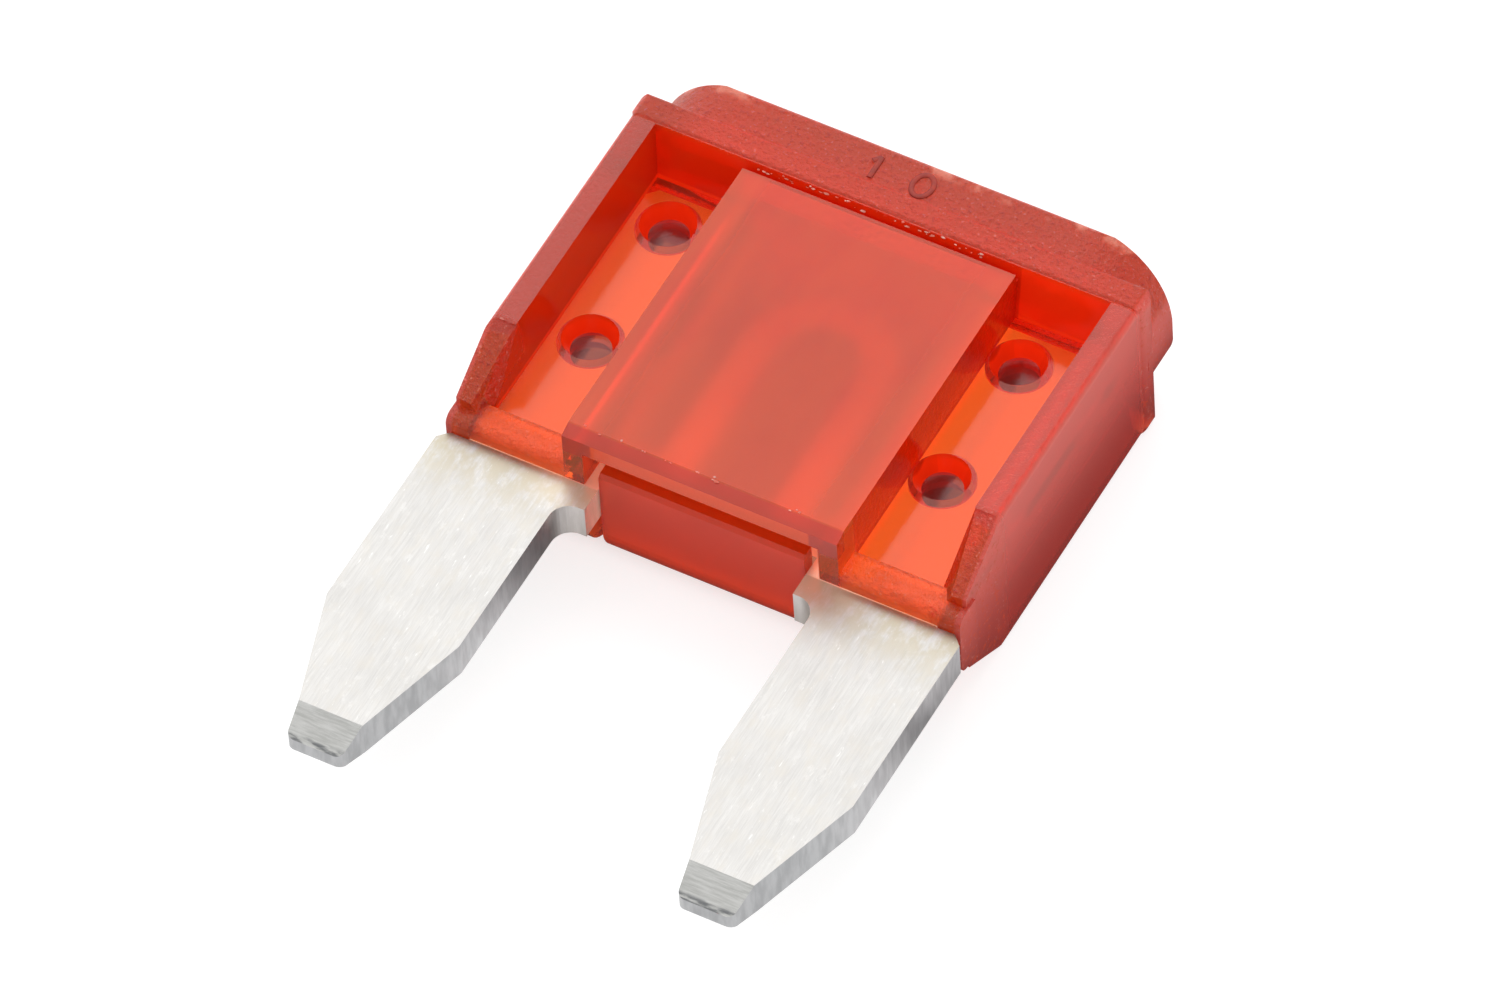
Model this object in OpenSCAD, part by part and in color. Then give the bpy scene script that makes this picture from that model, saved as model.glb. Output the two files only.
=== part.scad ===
// Mini blade fuse: one stamped fuse strip held in a one-piece moulded housing.
// It lies on its back face. The blades point to -Y and the head to +Y.
// Millimetres. X = 0 is the middle, Z = 0 the lowest face, Y = 0 the middle of the length.
// The modules below are drawn with Y = 0 at the blade tips and Z = 0 at the strip's mid-plane.

/* [Blades] */
// Width of each blade
blade_w = 2.8; // [2.5:0.1:3]
// Thickness of the strip at the blades and legs
blade_t = 0.8; // [0.7:0.05:0.9]
// How far the blades' outer edges stand past the side rails
blade_proud = 0.15; // [0:0.01:0.3]
// Length of a blade from its tip to the shoulder that meets the housing
blade_l = 7.44; // [6.5:0.1:9]
// Height of the knees, where the taper towards the tip begins
knee_l = 3.1; // [2:0.1:4.5]
// Length of the coined bevel at the tip
coin_l = 0.7; // [0.4:0.05:1]
// Width of the blade where the bevel begins
coin_w = 1.35; // [1:0.05:1.8]
// Width of the tip's end
tip_w = 1.2; // [0.8:0.05:1.6]
// Thickness left at the tip's end
tip_t = 0.3; // [0.2:0.05:0.5]
// Radius of the tip's corners
tip_r = 0.18; // [0.05:0.01:0.25]
// How far the tip's middle lies inside the middle of the blade
tip_offset = 0.03; // [0:0.01:0.2]
// Radius of the concave corner under the inner shoulder
shoulder_r = 0.4; // [0.2:0.05:0.6]
// Drop of the inner shoulder below the outer one
shoulder_drop = 0.5; // [0.2:0.05:0.8]
// Length of the cut at the outer shoulder
shoulder_cut = 0.2; // [0.1:0.05:0.4]

/* [Legs and link] */
// Width of each leg inside the housing
leg_w = 2.73; // [2.5:0.01:2.78]
// Distance from a blade's outer edge to its leg's
leg_inset = 0.6; // [0.45:0.01:0.8]
// Distance between the legs' upper ends and the collar
leg_end = 0.42; // [0.3:0.02:1]
// Cut corner at the legs' upper ends
leg_cut = 0.35; // [0.1:0.05:0.6]
// Radius of the staking holes in the legs
hole_r = 0.66; // [0.55:0.02:0.75]
// Width of the fusible link
link_w = 0.7; // [0.4:0.05:0.9]
// Thickness of the fusible link, milled down from the strip
link_t = 0.34; // [0.2:0.02:0.5]
// Middle radius of the link's arch
arch_r = 1.2; // [1:0.05:1.4]
// Distance from the legs' upper ends down to the arch's centre
arch_drop = 2.3; // [2:0.1:3.4]
// Height of the link's feet above the blade's shoulder
foot_l = 0.6; // [0.5:0.05:1]

/* [Housing outline] */
// Width over the two side rails
body_w = 10.76; // [10.7:0.02:11]
// Thickness over the side rails
body_t = 3.72; // [3.66:0.02:3.76]
// Length from the lower end to the collar
body_l = 7.2; // [7:0.05:8]
// Radius along the outer edges of the rails
rail_r = 0.16; // [0.05:0.01:0.3]
// Width of a rail's flat top
rail_w = 0.54; // [0.4:0.02:0.7]
// Lean of a rail's inner wall from its top to the floor
rail_lean = 0.12; // [0:0.02:0.2]
// Distance from the lower end to where the rails begin to ramp down
ramp_l = 1.78; // [1.5:0.05:2.5]
// Slope of the ramps, in degrees
ramp_angle = 31; // [25:1:38]
// Inward tilt of the ramps, in degrees
ramp_tilt = 6; // [0:1:12]
// Distance from the lower end at which a ramp breaks off above the lip
ramp_end = 0.36; // [0.2:0.02:0.5]
// Spread of the bevel inside each ramp, in degrees
bevel_spread = 8; // [4:1:12]
// Slope of that bevel, in degrees
bevel_slope = 50; // [40:1:60]
// Distance from the ramp's upper end to the bevel's
bevel_start = 0.1; // [0:0.05:0.3]
// Thickness of the skin over the legs, which is the channels' floor
skin_t = 0.18; // [0.14:0.01:0.3]
// Height of the lip above the channels' floor
lip_rise = 0.18; // [0.1:0.02:0.3]
// Length of the lip
lip_l = 0.62; // [0.5:0.02:0.8]
// How far the lip's ends stand past the side rails
lip_proud = 0.05; // [0:0.01:0.1]
// Radius of the lip's lower edge
lip_r = 0.2; // [0.1:0.02:0.3]
// Lean of the end wall under the collar, from the collar to the floor
end_lean = 0.25; // [0.1:0.01:0.3]

/* [Panel and chamber] */
// How far the panels lie below the tops of the rails
panel_step = 0.11; // [0.04:0.01:0.2]
// Thickness of the panels' side walls
side_wall = 0.42; // [0.3:0.02:0.46]
// Thickness of the panels in front of and behind the chamber
panel_wall = 0.45; // [0.3:0.05:0.6]
// Length of the chamfer along the panel's lower edge
panel_chamfer_l = 0.3; // [0.1:0.05:0.5]
// Depth of the chamfer along the panel's lower edge
panel_chamfer_t = 0.1; // [0.05:0.01:0.2]
// Width of the groove between a panel and the collar
neck_l = 0.14; // [0.1:0.02:0.2]
// Depth of that groove
neck_t = 0.2; // [0.1:0.02:0.3]
// Distance from a leg's inner edge to the chamber's side
chamber_reach = 0.28; // [0.2:0.02:0.4]
// Distance from the chamber's upper end to the collar
chamber_end = 0.5; // [0.4:0.05:0.7]

/* [Mouth flap] */
// Thickness of the flap that closes the mouth
flap_t = 0.3; // [0.2:0.02:0.32]
// Width of the slit between the flap's free edge and the front panel
mouth_gap = 0.44; // [0.3:0.02:0.8]
// Outer radius of the bend from the back wall into the flap
flap_bend = 0.9; // [0.6:0.05:1]
// Cut corner along the flap's free edge
flap_cut = 0.08; // [0.02:0.01:0.15]

/* [Collar and cap] */
// How far the collar's ends stand past the side rails
collar_proud = 0.06; // [0.02:0.01:0.15]
// How far the collar's faces stand past the rails' tops
collar_rise = 0.03; // [0.01:0.01:0.1]
// Length of the collar
collar_l = 0.6; // [0.4:0.02:0.8]
// Radius of the collar's corners
collar_r = 0.24; // [0.1:0.02:0.28]
// Radius of the collar's long edges
collar_edge_r = 0.1; // [0.04:0.02:0.2]
// How far the cap's round ends stand past the side rails
cap_proud = 0.07; // [0:0.01:0.15]
// How far the cap's faces lie below the collar's
cap_step = 0.1; // [0.04:0.01:0.2]
// Length of the cap above the collar
cap_l = 0.92; // [0.7:0.02:1.2]
// Fall of the cap's top towards its ends
cap_fall = 0.32; // [0.1:0.02:0.5]
// Distance from an end over which the top falls
cap_run = 2.1; // [1:0.1:3]
// Radius along the cap's upper edges
cap_r = 0.14; // [0.06:0.02:0.3]

/* [Stakes] */
// How far the left stakes lie outside the middle of their leg
stake_out = 0.435; // [0:0.005:0.47]
// How far the right stakes lie inside the middle of their leg
stake_in = 0.105; // [0:0.005:0.11]
// Distance from the upper stakes to the legs' upper ends
stake_end = 0.74; // [0.74:0.02:1.2]
// Distance between the lower and the upper stakes
stake_pitch = 3.04; // [2:0.02:3.2]
// Radius of a stake pit at the floor
pit_r = 0.55; // [0.45:0.01:0.55]
// Radius of a stake pit at its bottom
pit_bottom_r = 0.4; // [0.2:0.02:0.44]
// Depth of a stake pit
pit_depth = 0.36; // [0.2:0.02:0.4]

/* [Fit] */
// Gap between the strip and the housing
fit_gap = 0.02; // [0.01:0.01:0.04]
// Gap between the flap and the strip's inner edges
flap_gap = 0.03; // [0.02:0.01:0.1]

/* [Hidden] */
$fn = 64;

// Facets of an arc inside an outline
ARC = 10;
// Overshoot of a cut past the surface that it opens
OVER = 1;

body_low = blade_l + fit_gap;
collar_low = body_low + body_l;
cap_low = collar_low + collar_l;
overall_l = cap_low + cap_l;
ramp_y = body_low + ramp_l;

blade_out = body_w / 2 + blade_proud;
blade_in = blade_out - blade_w;
tip_x = (blade_in + blade_out) / 2 - tip_offset;
leg_out = blade_out - leg_inset;
leg_in = leg_out - leg_w;
leg_middle = (leg_in + leg_out) / 2;
leg_top = collar_low - leg_end;
arch_y = leg_top - arch_drop;
foot_y = blade_l + foot_l;

floor_t = blade_t + 2 * (fit_gap + skin_t);
lip_t = floor_t + 2 * lip_rise;
lip_w = body_w + 2 * lip_proud;
panel_t = body_t - 2 * panel_step;
chamber_t = panel_t - 2 * panel_wall;
chamber_w = 2 * (leg_in + chamber_reach);
panel_w = chamber_w + 2 * side_wall;
flap_half = leg_in - flap_gap;
flap_top = chamber_t / 2 - mouth_gap;
collar_w = body_w + 2 * collar_proud;
collar_t = body_t + 2 * collar_rise;
cap_w = body_w + 2 * cap_proud;
cap_t = collar_t - 2 * cap_step;
pocket_half_t = blade_t / 2 + fit_gap;

STAKES = [
    for (x = [-leg_middle - stake_out, leg_middle - stake_in], drop = [0, stake_pitch])
        [x, leg_top - stake_end - drop]
];

function arc(centre, r, from, to) =
    [for (k = [0:ARC]) let (a = from + (to - from) * k / ARC)
        centre + r * [cos(a), sin(a)]];

// Seats a shape drawn from the blade tips and the mid-plane in the part's own frame
module seat() {
    translate([0, -overall_l / 2, collar_t / 2]) children();
}

// Extrudes an outline drawn in Y and Z along X, from x0 to x1
module along_x(x0, x1) {
    translate([x0, 0, 0]) rotate([90, 0, 90]) linear_extrude(x1 - x0) children();
}

// Extrudes an outline drawn in X and Z along Y, from y0 to y1
module along_y(y0, y1) {
    translate([0, y1, 0]) rotate([90, 0, 0]) linear_extrude(y1 - y0) children();
}

// A shape and its mirror image across the middle
module both_sides() {
    children();
    mirror([1, 0, 0]) children();
}

// A shape and its mirror image across the mid-plane
module both_faces() {
    children();
    mirror([0, 0, 1]) children();
}

// A centred rectangle with round corners
module round_rect(w, h, r) {
    square([w - 2 * r, h], center = true);
    square([w, h - 2 * r], center = true);
    for (x = [-1, 1], y = [-1, 1])
        translate([x * (w / 2 - r), y * (h / 2 - r)]) circle(r);
}

// Outline of the right-hand blade with its leg
module blade_outline() {
    shoulder = blade_l - shoulder_drop;
    corner = [blade_in - shoulder_r, shoulder - shoulder_r];
    polygon(concat(
        arc([tip_x - tip_w / 2 + tip_r, tip_r], tip_r, 180, 270),
        arc([tip_x + tip_w / 2 - tip_r, tip_r], tip_r, 270, 360),
        [[tip_x + coin_w / 2, coin_l], [blade_out, knee_l]],
        [[blade_out, blade_l - shoulder_cut], [blade_out - shoulder_cut, blade_l]],
        [[leg_out, blade_l]],
        [[leg_out, leg_top - leg_cut], [leg_out - leg_cut, leg_top]],
        [[leg_in + leg_cut, leg_top], [leg_in, leg_top - leg_cut]],
        [[leg_in, shoulder]],
        arc(corner, shoulder_r, 90, 0),
        [[blade_in, knee_l], [tip_x - coin_w / 2, coin_l]]
    ));
}

// Thickness of the strip seen from the side, with the coined tip
module strip_profile() {
    polygon([
        [0, -tip_t / 2], [coin_l, -blade_t / 2], [leg_top, -blade_t / 2],
        [leg_top, blade_t / 2], [coin_l, blade_t / 2], [0, tip_t / 2]
    ]);
}

// Plan of the arched link with its two feet
module link_outline() {
    difference() {
        union() {
            translate([0, arch_y]) circle(arch_r + link_w / 2);
            both_sides() {
                translate([arch_r - link_w / 2, foot_y]) square([link_w, arch_y - foot_y]);
                translate([arch_r - link_w / 2, foot_y])
                    square([leg_in - arch_r + link_w / 2 + fit_gap, link_w]);
            }
        }
        translate([0, arch_y]) circle(arch_r - link_w / 2);
        translate([-arch_r + link_w / 2, foot_y - OVER])
            square([2 * arch_r - link_w, arch_y - foot_y + OVER]);
    }
}

module fuse_strip() {
    color("gainsboro") seat() {
        difference() {
            intersection() {
                translate([0, 0, -blade_t / 2]) linear_extrude(blade_t)
                    both_sides() blade_outline();
                along_x(-blade_out, blade_out) strip_profile();
            }
            for (p = STAKES)
                translate([p[0], p[1], -blade_t]) cylinder(h = 2 * blade_t, r = hole_r);
        }
        translate([0, 0, -link_t / 2]) linear_extrude(link_t) link_outline();
    }
}

// Section of the right-hand rail
module rail_section() {
    top = body_t / 2;
    out = body_w / 2;
    inner = out - rail_w;
    polygon(concat(
        [[inner - rail_lean, 0], [inner - rail_lean, floor_t / 2], [inner, top]],
        arc([out - rail_r, top - rail_r], rail_r, 90, 0),
        [[out, 0]]
    ));
}

// One rail on the front face, ramped down at its lower end
module half_rail() {
    out = body_w / 2;
    top = body_t / 2;
    difference() {
        along_y(body_low + ramp_end, cap_low - collar_r) rail_section();
        translate([out, ramp_y, top]) rotate([ramp_angle, 0, 0]) rotate([0, -ramp_tilt, 0])
            translate([-2 * rail_w, -2 * ramp_l, 0]) cube([3 * rail_w, 2 * ramp_l, body_t]);
        translate([out - rail_w, ramp_y + bevel_start, top]) rotate([ramp_angle, 0, 0])
            rotate([0, 0, bevel_spread]) rotate([0, -bevel_slope, 0])
            translate([-2 * rail_w, -2 * ramp_l, 0]) cube([2 * rail_w, 2 * ramp_l, body_t]);
    }
}

// Side view of the lip at the housing's lower end
module lip_profile() {
    top = lip_t / 2;
    low = body_low;
    polygon(concat(
        [[low + lip_l, -top]],
        [[low + lip_l, top]],
        arc([low + lip_r, top - lip_r], lip_r, 90, 180),
        arc([low + lip_r, lip_r - top], lip_r, 180, 270)
    ));
}

// Side view of the raised panels: the front one has a chamfer at its lower edge, the back one
// the round bend of the flap, and both end in a groove under the collar
module panel_profile() {
    top = panel_t / 2;
    neck = top - neck_t;
    end = collar_low - neck_l;
    polygon(concat(
        arc([body_low + flap_bend, flap_bend - top], flap_bend, 270, 180),
        [[body_low, top - panel_chamfer_t], [body_low + panel_chamfer_l, top]],
        [[end, top], [end, neck], [collar_low, neck]],
        [[collar_low, -neck], [end, -neck], [end, -top]]
    ));
}

// Side view of the leaning end walls between the floor and the collar
module end_wall_profile() {
    low = floor_t / 2;
    top = body_t / 2;
    rise = collar_low + collar_r;
    polygon([
        [rise, -top], [collar_low, -top], [collar_low - end_lean, -low],
        [collar_low - end_lean, low], [collar_low, top], [rise, top]
    ]);
}

// The band around the head
module collar() {
    intersection() {
        translate([0, collar_low + collar_l / 2, -collar_t / 2]) linear_extrude(collar_t)
            round_rect(collar_w, collar_l, collar_r);
        along_x(-collar_w / 2, collar_w / 2) translate([collar_low + collar_l / 2, 0])
            round_rect(collar_l, collar_t, collar_edge_r);
        along_y(collar_low, cap_low) round_rect(collar_w, collar_t, collar_r);
    }
}

// Front view of the cap, with its top falling towards the ends
module cap_outline() {
    half = cap_w / 2;
    crown = overall_l - cap_fall;
    right = [for (k = [0:ARC]) let (a = 90 * k / ARC)
        [half - cap_run + cap_run * cos(a), crown + cap_fall * sin(a)]];
    left = [for (k = [ARC:-1:0]) [-right[k][0], right[k][1]]];
    polygon(concat([[-half, collar_low + collar_r], [half, collar_low + collar_r]], right, left));
}

// The top of the head, with round ends
module cap() {
    half = cap_w / 2;
    low = collar_low + collar_r;
    intersection() {
        translate([0, 0, -cap_t / 2]) linear_extrude(cap_t) cap_outline();
        along_y(low, overall_l) {
            square([cap_w - cap_t, cap_t], center = true);
            both_sides() translate([(cap_w - cap_t) / 2, 0]) circle(cap_t / 2);
        }
        along_x(-half, half) {
            translate([low, -cap_t / 2]) square([overall_l - cap_r - low, cap_t]);
            translate([low, cap_r - cap_t / 2]) square([overall_l - low, cap_t - 2 * cap_r]);
            for (side = [-1, 1])
                translate([overall_l - cap_r, side * (cap_t / 2 - cap_r)]) circle(cap_r);
        }
    }
}

// The slots that hold the legs, left open at the lower end
module leg_pockets() {
    top = leg_top + fit_gap;
    difference() {
        both_sides()
            translate([leg_in - fit_gap, body_low - OVER, -pocket_half_t])
            cube([leg_w + 2 * fit_gap, top - body_low + OVER, 2 * pocket_half_t]);
        for (p = STAKES)
            translate([p[0], p[1], -blade_t]) cylinder(h = 2 * blade_t, r = hole_r - fit_gap);
    }
}

// The chamber around the link, open at the mouth
module chamber() {
    chamber_l = body_l - chamber_end;
    translate([-chamber_w / 2, body_low - OVER, -chamber_t / 2])
        cube([chamber_w, chamber_l + OVER, chamber_t]);
}

// The space for the flap, cut out of the back wall's lower end
module flap_slot() {
    translate([-chamber_w / 2, body_low - OVER, -panel_t / 2 - OVER])
        cube([chamber_w, flap_bend + OVER, panel_t / 2 + OVER]);
}

// The flap: the back wall turned up through a round bend to close most of the mouth
module flap() {
    bend_y = body_low + flap_bend;
    bend_z = flap_bend - panel_t / 2;
    along_x(-flap_half, flap_half) {
        difference() {
            translate([bend_y, bend_z]) circle(flap_bend);
            translate([bend_y, bend_z]) circle(flap_bend - flap_t);
            translate([bend_y, -panel_t]) square([2 * flap_bend, 2 * panel_t]);
            translate([body_low - OVER, bend_z]) square([2 * flap_bend + OVER, panel_t]);
        }
        translate([bend_y, -panel_t / 2]) square([flap_t, flap_t]);
        polygon([
            [body_low, bend_z], [body_low, flap_top - flap_cut],
            [body_low + flap_cut, flap_top], [body_low + flap_t, flap_top],
            [body_low + flap_t, bend_z]
        ]);
    }
}

// The pits that the staking punches leave on both faces
module stake_pits() {
    for (p = STAKES)
        translate([p[0], p[1], 0]) both_faces()
            translate([0, 0, floor_t / 2 - pit_depth])
            cylinder(h = pit_depth, r1 = pit_bottom_r, r2 = pit_r);
}

module housing() {
    color("crimson") seat() {
        difference() {
            union() {
                translate([-body_w / 2, body_low, -floor_t / 2])
                    cube([body_w, body_l, floor_t]);
                along_x(-lip_w / 2, lip_w / 2) lip_profile();
                both_sides() both_faces() half_rail();
                along_x(-panel_w / 2, panel_w / 2) panel_profile();
                along_x(rail_w - body_w / 2, body_w / 2 - rail_w) end_wall_profile();
                collar();
                cap();
            }
            leg_pockets();
            chamber();
            flap_slot();
            stake_pits();
        }
        flap();
    }
}

housing();
fuse_strip();
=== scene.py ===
"""Looks of a mini blade fuse: a translucent red moulding around a brushed zinc strip.

Lengths are in millimetres in the part's own frame and become metres through MM.
"""
import math
import random

import bmesh
import bpy
from mathutils import Matrix, Vector


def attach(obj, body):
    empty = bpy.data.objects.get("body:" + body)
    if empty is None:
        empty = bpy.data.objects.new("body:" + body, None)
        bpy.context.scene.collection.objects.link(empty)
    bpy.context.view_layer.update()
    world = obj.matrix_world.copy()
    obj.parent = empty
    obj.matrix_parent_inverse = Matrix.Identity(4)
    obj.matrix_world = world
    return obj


MM = 0.001

# Camera, fitted to the blades and the housing's edges
AZIMUTH = math.radians(31.69)
ELEVATION = math.radians(51.757)
ROLL = math.radians(-4.074)
DISTANCE = 310.475
TARGET = (0.217, 0.675, 1.89)
SENSOR_W = 36.0
LENS = 402.7

# Light
OVERHEAD_FROM = (-0.326, 0.525, 0.786)
OVERHEAD_DISTANCE = 320
OVERHEAD_SIZE = 400
OVERHEAD_RADIANCE = 1.08
SKY_STRENGTH = 0.8

# Floor, which gives some light by itself so that it stays white
FLOOR_HALF = 400
FLOOR_GLOW = 0.75
# Less glow in a patch under the housing: painted shade where its shadow falls
PAINTED_SHADE_GLOW = 0.45
PAINTED_SHADE_X = 4.6
PAINTED_SHADE_Y = 3.6
HOUSING_MIDDLE_Y = 3.6

# Sheet on the floor round the housing, a painted shadow that only reflections see
SHEET_X = 9.0
SHEET_FRONT_Y = -3.6
SHEET_BACK_Y = 10.6
SHEET_Z = 0.01
SHEET_DIMMEST = 0.08
FOOT_X = 5.5
FOOT_Y = 4.3

# Places on the part along its length
TIP_Y = -8.09
LIP_Y = -0.63
FRONT_END_Y = -0.35
LIP_END = 0.0
FLAP_Y = 0.5
RAMP_END = 1.25
CHAMBER_Y = 6.1
NECK_Y = (6.42, 6.58)
COLLAR_Y = 6.57
RIM_Y = 7.86

# Places across the part, from its middle
LINK_X = 1.7
LEG_X = 2.12
FLAP_X = 2.3
CHAMBER_X = 2.5
CHANNEL_X = 2.7
PANEL_X = 2.9
FRONT_X = 2.92
BEYOND_PANEL_X = 2.96
RAIL_X = 4.7
RAMP_X = 4.75
CHANNEL_END_X = 4.95
SIDE_X = 5.3

# Heights, and depths to either side of the strip's middle
MIDDLE_Z = 1.89
PANEL_TOP_Z = 3.64
CAP_Z = 3.68
STAKE_DEPTH = 0.3
SKIN_DEPTH = 0.66
PIT_DEPTH = 0.7
FRONT_END_DEPTH = 1.2
CHAMBER_DEPTH = 1.32
NECK_DEPTH = 1.45
PANEL_DEPTH = 1.6
RAIL_DEPTH = 1.7

# Red plastic
IOR = 1.48
ABSORBED = (0.995, 0.7, 0.5, 1)
ABSORPTION = 5000
RED_BODY = (1.0, 0.18, 0.02, 1)
RED_SKIN = (1.0, 0.35, 0.07, 1)
RED_HEAD = (1.0, 0.13, 0.012, 1)
RED_RAIL = (0.74, 0.1, 0.05, 1)
# Darker streaks in the panel: painted shade of the strip seen through it
RED_PANEL_SHADE = (0.86, 0.11, 0.022, 1)
# The sides, darker low down and lighter high up: painted shade and light
RED_SIDE_SHADED = (0.46, 0.045, 0.03, 1)
RED_SIDE_LIT = (0.95, 0.15, 0.1, 1)
# Grey-brown where the stakes fill the strip's holes: painted shade of the floor seen through them
RED_STAKE_SHADE = (0.4, 0.14, 0.1, 1)
# Channel walls and the groove under the collar: painted shade of these recesses
RED_WALL_SHADE = (0.88, 0.05, 0.005, 1)
# The pits' walls, painted a brighter red: painted light
RED_PIT_LIT = (1.0, 0.06, 0.006, 1)
RED_MOTTLE = (0.74, 0.07, 0.01, 1)
RED_FRONT_END = (0.62, 0.045, 0.012, 1)
RED_FLAP = (0.98, 0.1, 0.01, 1)
# Pale spots on the grained faces: painted glints, together with real dust on the cap's rim
RED_GLINT_AND_DUST = (1.0, 0.55, 0.45, 1)
RED_GLOW = (1.0, 0.025, 0.003, 1)
RED_FIGURE = (0.42, 0.035, 0.018, 1)
RED_FIGURE_LIGHT = (0.6, 0.06, 0.03, 1)
# Crumbs of flash, with pale tones painted as glints
RED_FLASH = (0.9, 0.2, 0.13, 1)
RED_FLASH_GLINT = (1.0, 0.62, 0.52, 1)

# Zinc
ZINC_DARK = (0.465, 0.455, 0.44, 1)
ZINC_LIGHT = (0.57, 0.56, 0.545, 1)
ZINC_PATCH = (0.53, 0.505, 0.465, 1)
ZINC_WIPED = (0.6, 0.59, 0.575, 1)
# Brownish patches next to the housing: painted reflection of it
ZINC_HOUSING_REFLECTION = (0.45, 0.405, 0.31, 1)
ZINC_NICK = (0.65, 0.645, 0.63, 1)
ZINC_INSIDE = (0.86, 0.83, 0.78, 1)
# Sheared edges near the housing: painted light
ZINC_EDGE_LIT = ((0.72, 0.69, 0.7, 1), (0.88, 0.85, 0.86, 1))
ZINC_EDGE_GREY = ((0.35, 0.353, 0.36, 1), (0.45, 0.453, 0.46, 1))
ZINC_COINED = ((0.4, 0.4, 0.385, 1), (0.55, 0.55, 0.535, 1))
ZINC_WORN = (0.16, 0.165, 0.17, 1)
ZINC_GLOW = (1.0, 0.72, 0.5, 1)

# Figures on the cap's front
FIGURE_H = 0.54
FIGURE_W = 0.4
FIGURE_ONE = (-0.65, 7.52)
FIGURE_NOUGHT = (0.35, 7.52)
FIGURE_FLAG = ((-0.13, -0.14), (-0.06, -0.07), (0.0, 0.0))
STEM_STEPS = 8
RING_STEPS = 40
STROKE_W = 0.12
STROKE_RISE = 0.035
STROKE_SINK = 0.02
STROKE_SIDES = 6

# Crumbs of flash
FLASH_SEED = 7
GROOVE_CRUMBS = 46
EDGE_CRUMBS = 14

# Bounces of light, and the surfaces that it may pass straight through
BOUNCES = 10
CLEAR_BOUNCES = 8

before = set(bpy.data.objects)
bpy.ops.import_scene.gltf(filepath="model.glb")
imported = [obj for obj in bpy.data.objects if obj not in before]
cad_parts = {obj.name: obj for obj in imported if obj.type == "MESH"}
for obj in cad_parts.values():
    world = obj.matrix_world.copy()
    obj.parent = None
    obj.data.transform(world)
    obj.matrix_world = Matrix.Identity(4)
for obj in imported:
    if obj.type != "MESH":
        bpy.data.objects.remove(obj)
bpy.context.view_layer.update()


# Camera and lights

def add_camera():
    back = Vector((
        math.sin(AZIMUTH) * math.cos(ELEVATION),
        -math.cos(AZIMUTH) * math.cos(ELEVATION),
        math.sin(ELEVATION),
    ))
    level = Vector((math.cos(AZIMUTH), math.sin(AZIMUTH), 0))
    rise = back.cross(level)
    right = math.cos(ROLL) * level + math.sin(ROLL) * rise
    up = back.cross(right)
    data = bpy.data.cameras.new("camera")
    data.lens = LENS
    data.sensor_fit = "HORIZONTAL"
    data.sensor_width = SENSOR_W
    data.clip_start = 0.01
    data.clip_end = 10
    camera = bpy.data.objects.new("camera", data)
    bpy.context.scene.collection.objects.link(camera)
    turn = Matrix((right, up, back)).transposed().to_4x4()
    place = Vector(TARGET) * MM + back * DISTANCE * MM
    camera.matrix_world = Matrix.Translation(place) @ turn
    bpy.context.scene.camera = camera


def add_overhead():
    """A large square light that the faces turned upwards mirror to the camera."""
    data = bpy.data.lights.new("overhead", "AREA")
    data.shape = "SQUARE"
    data.size = OVERHEAD_SIZE * MM
    data.energy = math.pi * (OVERHEAD_SIZE * MM) ** 2 * OVERHEAD_RADIANCE
    light = bpy.data.objects.new("overhead", data)
    bpy.context.scene.collection.objects.link(light)
    away = Vector(OVERHEAD_FROM).normalized()
    light.location = away * OVERHEAD_DISTANCE * MM
    light.rotation_euler = away.to_track_quat("Z", "Y").to_euler()


def add_world():
    world = bpy.data.worlds.new("studio")
    bpy.context.scene.world = world
    world.use_nodes = True
    sky = world.node_tree.nodes["Background"]
    sky.inputs["Color"].default_value = (1, 1, 1, 1)
    sky.inputs["Strength"].default_value = SKY_STRENGTH


# Materials

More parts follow.
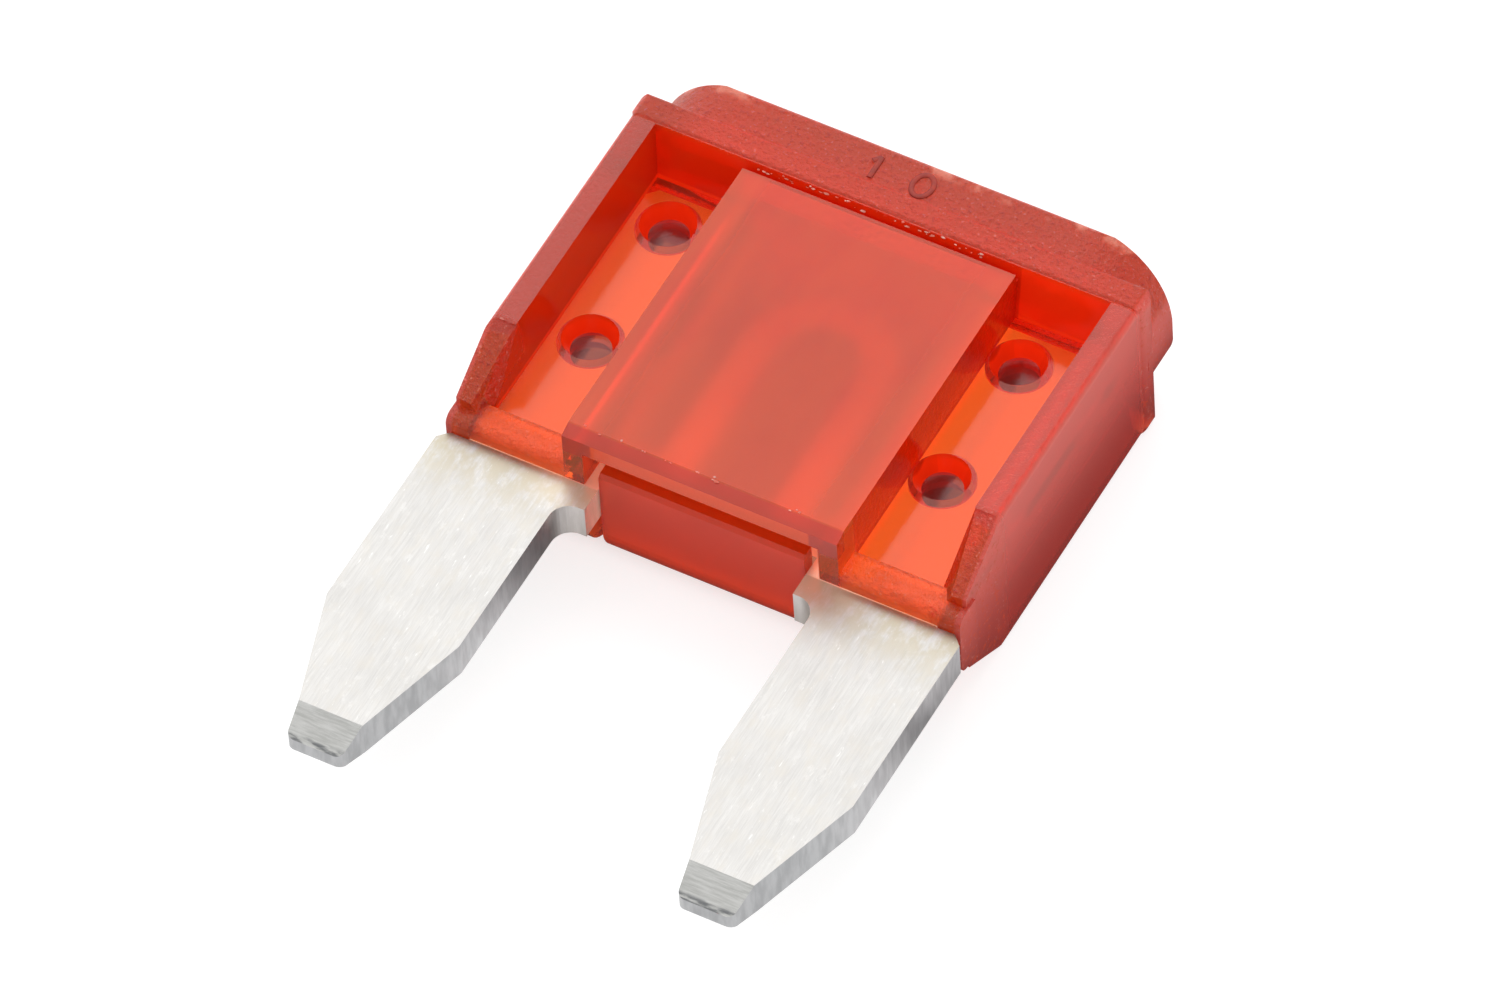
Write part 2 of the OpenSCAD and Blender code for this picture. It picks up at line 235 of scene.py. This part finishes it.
class Shading:
    """A material under construction, with its positions in millimetres."""

    def __init__(self, name):
        self.material = bpy.data.materials.new(name)
        self.material.use_nodes = True
        self.tree = self.material.node_tree
        self.shader = self.tree.nodes["Principled BSDF"]
        self.output = self.tree.nodes["Material Output"]
        place = self.node("ShaderNodeTexCoord").outputs["Object"]
        scaled = self.node("ShaderNodeVectorMath", operation="SCALE")
        self.tree.links.new(place, scaled.inputs[0])
        scaled.inputs["Scale"].default_value = 1 / MM
        self.place = scaled.outputs[0]
        split = self.node("ShaderNodeSeparateXYZ")
        self.tree.links.new(self.place, split.inputs[0])
        self.x, self.y, self.z = split.outputs
        geometry = self.node("ShaderNodeNewGeometry")
        facing = self.node("ShaderNodeSeparateXYZ")
        self.tree.links.new(geometry.outputs["Normal"], facing.inputs[0])
        self.facing_x, self.facing_y, self.facing_z = facing.outputs

    def node(self, kind, **settings):
        made = self.tree.nodes.new(kind)
        for name, value in settings.items():
            setattr(made, name, value)
        return made

    def feed(self, socket, value):
        """Links a socket to another, or sets its value."""
        if isinstance(value, bpy.types.NodeSocket):
            self.tree.links.new(value, socket)
        else:
            socket.default_value = value

    def set(self, **inputs):
        for name, value in inputs.items():
            self.feed(self.shader.inputs[name.replace("_", " ")], value)

    def math(self, operation, *values):
        made = self.node("ShaderNodeMath", operation=operation)
        for socket, value in zip(made.inputs, values):
            self.feed(socket, value)
        return made.outputs[0]

    def size(self, value):
        return self.math("ABSOLUTE", value)

    def minus(self, value, other):
        return self.math("SUBTRACT", value, other)

    def share(self, value, factor):
        return self.math("MULTIPLY", value, factor)

    def ramp(self, value, low, high, out_low=0.0, out_high=1.0):
        """A smooth step of value from low to high."""
        made = self.node("ShaderNodeMapRange", interpolation_type="SMOOTHSTEP")
        for name, number in (("Value", value), ("From Min", low), ("From Max", high),
                             ("To Min", out_low), ("To Max", out_high)):
            self.feed(made.inputs[name], number)
        return made.outputs["Result"]

    def inside(self, value, half, soft=0.03):
        """One where value lies within half of zero."""
        return self.below(self.size(value), half, soft)

    def above(self, value, limit, soft=0.03):
        return self.ramp(value, limit - soft, limit + soft)

    def below(self, value, limit, soft=0.03):
        return self.ramp(value, limit - soft, limit + soft, 1.0, 0.0)

    def all_of(self, *masks):
        result = masks[0]
        for mask in masks[1:]:
            result = self.share(result, mask)
        return result

    def any_of(self, *masks):
        result = masks[0]
        for mask in masks[1:]:
            result = self.math("MAXIMUM", result, mask)
        return result

    def noise(self, scale, stretch=(1, 1, 1), detail=2.0, roughness=0.5):
        """Noise with scale cells for each millimetre, and for each axis its own share of that."""
        spread = self.node("ShaderNodeVectorMath", operation="MULTIPLY")
        self.feed(spread.inputs[0], self.place)
        spread.inputs[1].default_value = stretch
        made = self.node("ShaderNodeTexNoise")
        self.feed(made.inputs["Vector"], spread.outputs[0])
        made.inputs["Scale"].default_value = scale
        made.inputs["Detail"].default_value = detail
        made.inputs["Roughness"].default_value = roughness
        return made.outputs[0]

    def mix(self, factor, first, second):
        """A number or a colour between first and second."""
        is_colour = any(
            isinstance(end, tuple) or getattr(end, "type", "") == "RGBA"
            for end in (first, second)
        )
        made = self.node("ShaderNodeMix", data_type="RGBA" if is_colour else "FLOAT")
        at = 6 if is_colour else 2
        self.feed(made.inputs[0], factor)
        self.feed(made.inputs[at], first)
        self.feed(made.inputs[at + 1], second)
        return made.outputs[2 if is_colour else 0]

    def layers(self, base, *coats):
        """Coats of (mask, value) laid over base one after another."""
        for mask, value in coats:
            base = self.mix(mask, base, value)
        return base

    def bump(self, height, strength, distance):
        made = self.node("ShaderNodeBump")
        made.inputs["Distance"].default_value = distance * MM
        self.feed(made.inputs["Strength"], strength)
        self.feed(made.inputs["Height"], height)
        return made.outputs[0]


class Plastic(Shading):
    """The red moulding's material, with masks for the regions that look different."""

    def __init__(self):
        super().__init__("red_plastic")
        self.height = self.minus(self.z, MIDDLE_Z)
        self.across = self.size(self.x)
        self.depth = self.size(self.height)
        self.grain = self.noise(9, detail=3, roughness=0.65)
        self.mark_forms()
        self.mark_channels()
        self.mark_front()
        self.mark_wear()

    def mark_forms(self):
        below_collar = self.below(self.y, COLLAR_Y)
        self.head = self.above(self.y, COLLAR_Y)
        self.lip = self.all_of(self.below(self.y, LIP_END), self.above(self.across, PANEL_X))
        self.ramps = self.all_of(self.below(self.y, RAMP_END), self.above(self.across, RAMP_X))
        self.grained = self.any_of(self.head, self.lip, self.ramps)
        self.sides = self.above(self.across, SIDE_X)
        self.rails = self.all_of(
            self.above(self.across, RAIL_X),
            self.above(self.depth, RAIL_DEPTH),
            below_collar,
        )
        self.chamber = self.all_of(
            self.inside(self.x, CHAMBER_X),
            self.inside(self.height, CHAMBER_DEPTH),
            self.below(self.y, CHAMBER_Y),
        )
        self.panel = self.all_of(
            self.inside(self.x, PANEL_X),
            below_collar,
            self.above(self.depth, PANEL_DEPTH),
        )
        self.edge_strips = self.all_of(self.panel, self.above(self.across, 2.2, 0.5))

    def mark_channels(self):
        """The skin over the strip's legs, the channels' walls and the stake pits."""
        over_legs = self.all_of(self.above(self.across, LEG_X), self.below(self.across, CHANNEL_END_X))
        skin = self.any_of(self.below(self.depth, SKIN_DEPTH), self.lip)
        self.skin = self.all_of(skin, over_legs)
        # Grey-brown where the stakes fill the strip's holes: painted shade of the floor seen through
        # them
        self.stake_shade = self.all_of(self.below(self.depth, STAKE_DEPTH), over_legs)
        upright = self.below(self.size(self.facing_z), 0.85, 0.05)
        channel = self.all_of(
            self.above(self.across, CHANNEL_X),
            self.below(self.across, CHANNEL_END_X),
            self.below(self.y, COLLAR_Y),
            self.above(self.y, LIP_END),
        )
        neck = self.all_of(
            self.above(self.y, NECK_Y[0], 0.01),
            self.below(self.y, NECK_Y[1], 0.01),
            self.inside(self.x, FRONT_X),
            self.above(self.depth, NECK_DEPTH),
        )
        # The walls and the groove under the collar are painted a deeper red: painted shade of these
        # recesses
        self.walls = self.any_of(self.all_of(upright, channel), neck)
        # The pits' walls are painted a brighter red and given a glow: painted light
        self.pits = self.all_of(
            self.walls,
            self.below(self.depth, PIT_DEPTH),
            self.above(self.across, BEYOND_PANEL_X, 0.02),
        )
        # The right channel's end wall is given a glow: painted light
        self.right_end = self.all_of(
            self.walls,
            self.above(self.x, BEYOND_PANEL_X, 0.02),
            self.below(self.facing_y, -0.7),
        )

    def mark_front(self):
        """The panel's lower edge and the flap."""
        self.front_end = self.all_of(
            self.below(self.y, FRONT_END_Y),
            self.inside(self.x, FRONT_X),
            self.above(self.height, FRONT_END_DEPTH),
        )
        self.flap = self.all_of(
            self.below(self.y, FLAP_Y),
            self.inside(self.x, FLAP_X),
            self.below(self.facing_y, -0.7),
        )

    def mark_wear(self):
        """Painted shade of the strip in the panel, and mottle, painted glints and dust on the grained
        faces.
        """
        haze = self.noise(0.7, stretch=(2.2, 0.7, 1), detail=3)
        # Darker streaks in the panel, stronger towards the head: painted shade of the strip seen
        # through it
        self.panel_shade = self.all_of(
            self.panel,
            self.ramp(haze, 0.35, 0.75, 0.6, 1.0),
            self.ramp(self.y, -0.5, 3.4, 0.5, 1.0),
        )
        off_rear = self.below(self.facing_y, 0.8, 0.1)
        rough_forms = self.any_of(self.head, self.ramps)
        self.mottle = self.all_of(rough_forms, self.ramp(self.grain, 0.52, 0.7), off_rear)
        # Glints are painted highlights on the grain; dust is real pale wear on the cap's rim
        glints = self.all_of(self.grained, self.ramp(self.noise(15, detail=1), 0.64, 0.76))
        dust = self.all_of(
            self.above(self.y, RIM_Y, 0.1),
            self.ramp(self.noise(1.7, detail=4), 0.5, 0.62),
        )
        self.glints = self.all_of(self.any_of(self.share(glints, 0.8), dust), off_rear)

    def colour(self):
        # The sides are darker towards the floor and lighter upwards: painted shade and light
        side_painted_shade = self.mix(self.ramp(self.height, -1.3, 1.8), RED_SIDE_SHADED, RED_SIDE_LIT)
        return self.layers(
            RED_BODY,
            (self.skin, RED_SKIN),
            (self.head, RED_HEAD),
            (self.rails, RED_RAIL),
            (self.panel_shade, RED_PANEL_SHADE),
            (self.sides, side_painted_shade),
            (self.stake_shade, RED_STAKE_SHADE),
            (self.walls, RED_WALL_SHADE),
            (self.pits, RED_PIT_LIT),
            (self.share(self.mottle, 0.8), RED_MOTTLE),
            (self.front_end, RED_FRONT_END),
            (self.flap, RED_FLAP),
            (self.share(self.glints, 0.42), RED_GLINT_AND_DUST),
        )

    def clearness(self):
        clear = self.layers(
            0.79,
            (self.panel, 0.7),
            (self.rails, 0.62),
            (self.sides, 0.5),
            (self.skin, 0.94),
            (self.edge_strips, 0.62),
            (self.walls, 0.52),
            (self.front_end, 0.4),
            (self.pits, 0.3),
        )
        return self.minus(clear, self.share(self.glints, 0.36))

    def roughness(self):
        waves = self.noise(0.9, detail=2)
        return self.layers(
            0.1,
            (self.sides, 0.26),
            (self.grained, 0.34),
            (self.chamber, 0.4),
            (self.panel, self.ramp(waves, 0.35, 0.65, 0.14, 0.24)),
        )

    def relief(self):
        flat = self.above(self.size(self.facing_z), 0.4, 0.1)
        grained = self.any_of(self.grained, self.share(self.rails, 0.35))
        return self.bump(self.grain, self.mix(self.all_of(grained, flat), 0.02, 1.0), 0.06)


def red_plastic():
    plastic = Plastic()
    plastic.set(
        Base_Color=plastic.colour(),
        Roughness=plastic.roughness(),
        IOR=IOR,
        Emission_Color=RED_GLOW,
        # Painted light: a red glow in the stake pits and on the right channel's end wall
        Emission_Strength=plastic.any_of(
            plastic.share(plastic.pits, 0.13),
            plastic.share(plastic.right_end, 0.19),
        ),
        Transmission_Weight=plastic.clearness(),
        Normal=plastic.relief(),
    )
    absorption = plastic.node("ShaderNodeVolumeAbsorption")
    absorption.inputs["Color"].default_value = ABSORBED
    absorption.inputs["Density"].default_value = ABSORPTION
    plastic.feed(plastic.output.inputs["Volume"], absorption.outputs[0])
    return plastic.material


def figure_plastic():
    """The same moulding where its surface is a raised figure, which looks a deeper red."""
    plastic = Shading("figure_plastic")
    tone = plastic.ramp(plastic.noise(6, detail=2), 0.3, 0.7)
    plastic.set(
        Base_Color=plastic.mix(tone, RED_FIGURE, RED_FIGURE_LIGHT),
        Roughness=plastic.mix(tone, 0.5, 0.65),
        IOR=IOR,
        Transmission_Weight=0.35,
    )
    return plastic.material


def flash_plastic():
    """Tiny crumbs of flash, whose pale tones are painted glints."""
    plastic = Shading("flash_plastic")
    tone = plastic.ramp(plastic.noise(9, detail=1), 0.35, 0.65)
    plastic.set(
        Base_Color=plastic.mix(tone, RED_FLASH, RED_FLASH_GLINT),
        Roughness=0.3,
        IOR=IOR,
        Transmission_Weight=0.3,
    )
    return plastic.material


class Zinc(Shading):
    """The strip's material: brushed faces, dull sheared edges and coined tips."""

    def __init__(self):
        super().__init__("zinc")
        self.across = self.size(self.x)
        self.covered = self.above(self.y, LIP_Y)
        self.bare = self.below(self.y, LIP_Y)
        self.streaks = self.noise(3, stretch=(12, 0.5, 12), detail=5, roughness=0.75)

    def face_colour(self, face):
        """Brushed, with patches, wiped spots and nicks, and next to the housing a brownish painted
        reflection of it.
        """
        patches = self.noise(2.2, stretch=(1.6, 0.8, 1), detail=4, roughness=0.65)
        smears = self.noise(1.7, stretch=(2.4, 1.2, 1), detail=5, roughness=0.75)
        scratches = self.noise(2.2, stretch=(7, 1.3, 7), detail=3, roughness=0.6)
        # Brownish patches on the bare metal next to the housing: painted reflection of it
        housing_reflection = self.all_of(self.above(self.y, -1.4, 0.9), self.bare)
        return self.layers(
            self.mix(self.ramp(self.streaks, 0.24, 0.76), ZINC_DARK, ZINC_LIGHT),
            (self.all_of(face, self.ramp(patches, 0.45, 0.7, 0.0, 0.6)), ZINC_PATCH),
            (self.all_of(face, self.ramp(smears, 0.56, 0.68, 0.0, 0.6)), ZINC_WIPED),
            (self.all_of(housing_reflection, self.ramp(patches, 0.34, 0.58)), ZINC_HOUSING_REFLECTION),
            (self.ramp(scratches, 0.65, 0.75), ZINC_NICK),
            (self.covered, ZINC_INSIDE),
        )

    def edge_colour(self):
        """Sheared edges, with painted light that makes them paler near the housing, most on their
        flanks.
        """
        specks = self.ramp(self.noise(4, stretch=(1.6, 1.6, 0.35), detail=3), 0.3, 0.7)
        flank = self.ramp(self.size(self.facing_x), 0.6, 0.9, 0.35, 1.0)
        lit_near_housing = self.all_of(self.ramp(self.y, -6.2, -1.8), flank)
        grey = self.mix(specks, *ZINC_EDGE_GREY)
        return self.mix(lit_near_housing, grey, self.mix(specks, *ZINC_EDGE_LIT))

    def tip_colour(self):
        """Coined tips, which are worn at the very end."""
        scuffs = self.noise(2, stretch=(0.8, 9, 3), detail=4, roughness=0.7)
        coined = self.mix(self.ramp(scuffs, 0.3, 0.7), *ZINC_COINED)
        worn = self.all_of(
            self.inside(self.minus(self.y, TIP_Y + 0.05), 0.07, 0.05),
            self.ramp(self.noise(2.4, stretch=(1, 4, 1), detail=3), 0.4, 0.6),
        )
        return self.mix(worn, coined, ZINC_WORN)

    def colour(self):
        up = self.size(self.facing_z)
        face = self.above(up, 0.97, 0.01)
        bevel = self.all_of(self.above(up, 0.9, 0.01), self.below(up, 0.96, 0.01))
        edges = self.mix(bevel, self.edge_colour(), self.tip_colour())
        return self.mix(face, edges, self.face_colour(face))

    def glow(self):
        """Light that the plastic scatters onto the strip inside it and next to the flap."""
        link = self.all_of(self.above(self.y, LIP_END), self.below(self.across, LINK_X))
        behind_panel = self.all_of(
            self.above(self.x, 2.3, 0.1),
            self.below(self.x, 3.35, 0.3),
            self.covered,
        )
        near_mouth = self.all_of(
            self.ramp(self.y, -1.7, -0.7),
            self.below(self.across, 3.3, 0.6),
            self.bare,
        )
        under_lip = self.all_of(
            self.covered,
            self.below(self.y, 0.1, 0.1),
            self.above(self.across, 2.95),
        )
        glow = self.share(self.covered, 0.16)
        for mask, strength in ((behind_panel, 0.26), (near_mouth, 0.22), (under_lip, 0.3)):
            glow = self.math("ADD", glow, self.share(mask, strength))
        return self.mix(link, glow, self.ramp(self.y, 0.6, 4.2, 0.36, 0.1))


def zinc():
    metal = Zinc()
    cloud = metal.noise(0.9, detail=3)
    metal.set(
        Base_Color=metal.colour(),
        Metallic=1.0,
        Roughness=metal.mix(metal.covered, metal.ramp(cloud, 0.3, 0.7, 0.36, 0.42), 0.46),
        Normal=metal.bump(metal.streaks, 0.3, 0.01),
        Emission_Color=ZINC_GLOW,
        Emission_Strength=metal.glow(),
    )
    return metal.material


def dress(node, material):
    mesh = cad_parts[node].data
    mesh.materials.clear()
    mesh.materials.append(material)


# Floor

def add_flat(name, low, high, material):
    """A level rectangle between two corners."""
    mesh = bpy.data.meshes.new(name)
    corners = [low, (high.x, low.y, low.z), high, (low.x, high.y, low.z)]
    mesh.from_pydata(corners, [], [(0, 1, 2, 3)])
    mesh.materials.append(material)
    flat = bpy.data.objects.new(name, mesh)
    bpy.context.scene.collection.objects.link(flat)
    return flat


def add_floor():
    pale = Shading("pale_floor")
    # A patch under the housing glows less: painted shade
    painted_shade = pale.all_of(
        pale.inside(pale.x, PAINTED_SHADE_X, 0.5),
        pale.inside(pale.minus(pale.y, HOUSING_MIDDLE_Y), PAINTED_SHADE_Y, 0.5),
    )
    pale.set(
        Base_Color=(0.4, 0.4, 0.4, 1),
        Roughness=0.8,
        Specular_IOR_Level=0.2,
        Emission_Color=(1, 1, 1, 1),
        Emission_Strength=pale.mix(painted_shade, FLOOR_GLOW, PAINTED_SHADE_GLOW),
    )
    corner = Vector((FLOOR_HALF, FLOOR_HALF, 0)) * MM
    floor = add_flat("floor", -corner, corner, pale.material)


def add_contact_shade():
    """A dim sheet on the floor that only reflections see, as a shadow close to the housing."""
    dim = Shading("dim_sheet")
    across = dim.minus(dim.size(dim.x), FOOT_X)
    along = dim.minus(dim.size(dim.minus(dim.y, HOUSING_MIDDLE_Y)), FOOT_Y)
    beside = dim.all_of(dim.above(across, -0.3), dim.above(dim.y, -1.0))
    in_front = dim.ramp(along, 0.2, 3.0, SHEET_DIMMEST, 1.0)
    dim.set(
        Base_Color=(0, 0, 0, 1),
        Specular_IOR_Level=0.0,
        Emission_Color=(1, 1, 1, 1),
        Emission_Strength=dim.mix(beside, in_front, dim.ramp(across, -0.2, 3.2, SHEET_DIMMEST, 1.0)),
    )
    low = Vector((-SHEET_X, SHEET_FRONT_Y, SHEET_Z)) * MM
    high = Vector((SHEET_X, SHEET_BACK_Y, SHEET_Z)) * MM
    sheet = add_flat("contact_shade", low, high, dim.material)
    sheet.visible_camera = False
    sheet.visible_diffuse = False
    sheet.visible_transmission = False
    sheet.visible_shadow = False


# Pieces on the housing

def make_piece(name, shape, material):
    """A piece of the housing from a bmesh drawn in millimetres."""
    mesh = bpy.data.meshes.new(name)
    bmesh.ops.scale(shape, vec=(MM, MM, MM), verts=shape.verts)
    bmesh.ops.recalc_face_normals(shape, faces=shape.faces)
    shape.to_mesh(mesh)
    shape.free()
    mesh.materials.append(material)
    piece = bpy.data.objects.new(name, mesh)
    bpy.context.scene.collection.objects.link(piece)
    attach(piece, "root")


def add_stroke(shape, points, closed):
    """A raised stroke with a rounded back along points on the cap's front."""
    count = len(points)
    rings = []
    for k, (x, y) in enumerate(points):
        before = points[k - 1] if closed or k else points[k]
        after = points[(k + 1) % count] if closed or k < count - 1 else points[k]
        along = Vector((after[0] - before[0], after[1] - before[1])).normalized()
        aside = Vector((-along.y, along.x))
        ring = []
        for j in range(STROKE_SIDES + 1):
            a = math.pi * j / STROKE_SIDES
            reach = math.cos(a) * STROKE_W / 2
            rise = CAP_Z + STROKE_RISE * math.sin(a) - (STROKE_SINK if j in (0, STROKE_SIDES) else 0)
            ring.append(shape.verts.new((x + aside.x * reach, y + aside.y * reach, rise)))
        rings.append(ring)
    following = rings[1:] + rings[:1] if closed else rings[1:]
    for first, second in zip(rings, following):
        for j in range(STROKE_SIDES + 1):
            i = (j + 1) % (STROKE_SIDES + 1)
            shape.faces.new((first[j], first[i], second[i], second[j]))
    if not closed:
        shape.faces.new(rings[0])
        shape.faces.new(rings[-1][::-1])


def add_figures():
    """A plain 1 and 0 in the middle of the cap's front."""
    shape = bmesh.new()
    x, y = FIGURE_ONE
    foot = y - FIGURE_H / 2
    top = y + FIGURE_H / 2
    stem = [(x, foot + FIGURE_H * k / STEM_STEPS) for k in range(STEM_STEPS + 1)]
    add_stroke(shape, stem, False)
    add_stroke(shape, [(x + aside, top + down) for aside, down in FIGURE_FLAG], False)
    x, y = FIGURE_NOUGHT
    ring = []
    for k in range(RING_STEPS):
        a = 2 * math.pi * k / RING_STEPS
        ring.append((x + FIGURE_W / 2 * math.cos(a), y + FIGURE_H / 2 * math.sin(a)))
    add_stroke(shape, ring, True)
    make_piece("figures", shape, figure_plastic())


def add_flash():
    """Crumbs of flash in the groove under the collar and along the front panel's lower edge."""
    rng = random.Random(FLASH_SEED)
    shape = bmesh.new()
    spots = []
    for _ in range(GROOVE_CRUMBS):
        x = rng.uniform(-2.75, 2.8)
        y = COLLAR_Y - rng.uniform(0.0, 0.05)
        spots.append((x, y, rng.uniform(3.6, 3.74)))
    for _ in range(EDGE_CRUMBS):
        spots.append((rng.uniform(-2.7, 2.7), LIP_Y + rng.uniform(0.26, 0.34), PANEL_TOP_Z))
    for spot in spots:
        size = rng.uniform(0.012, 0.03)
        made = bmesh.ops.create_icosphere(shape, subdivisions=1, radius=size)
        stretch = rng.uniform(1.0, 2.6)
        for vert in made["verts"]:
            jitter = rng.uniform(0.75, 1.2)
            crumb = Vector((vert.co.x * stretch, vert.co.y, vert.co.z * 0.7))
            vert.co = crumb * jitter + Vector(spot)
    make_piece("flash", shape, flash_plastic())


add_camera()
add_world()
add_overhead()
add_floor()
add_contact_shade()
dress("housing", red_plastic())
dress("fuse_strip", zinc())
add_figures()
add_flash()

scene = bpy.context.scene
scene.view_settings.view_transform = "Standard"
scene.cycles.max_bounces = BOUNCES
scene.cycles.transmission_bounces = BOUNCES
scene.cycles.transparent_max_bounces = CLEAR_BOUNCES
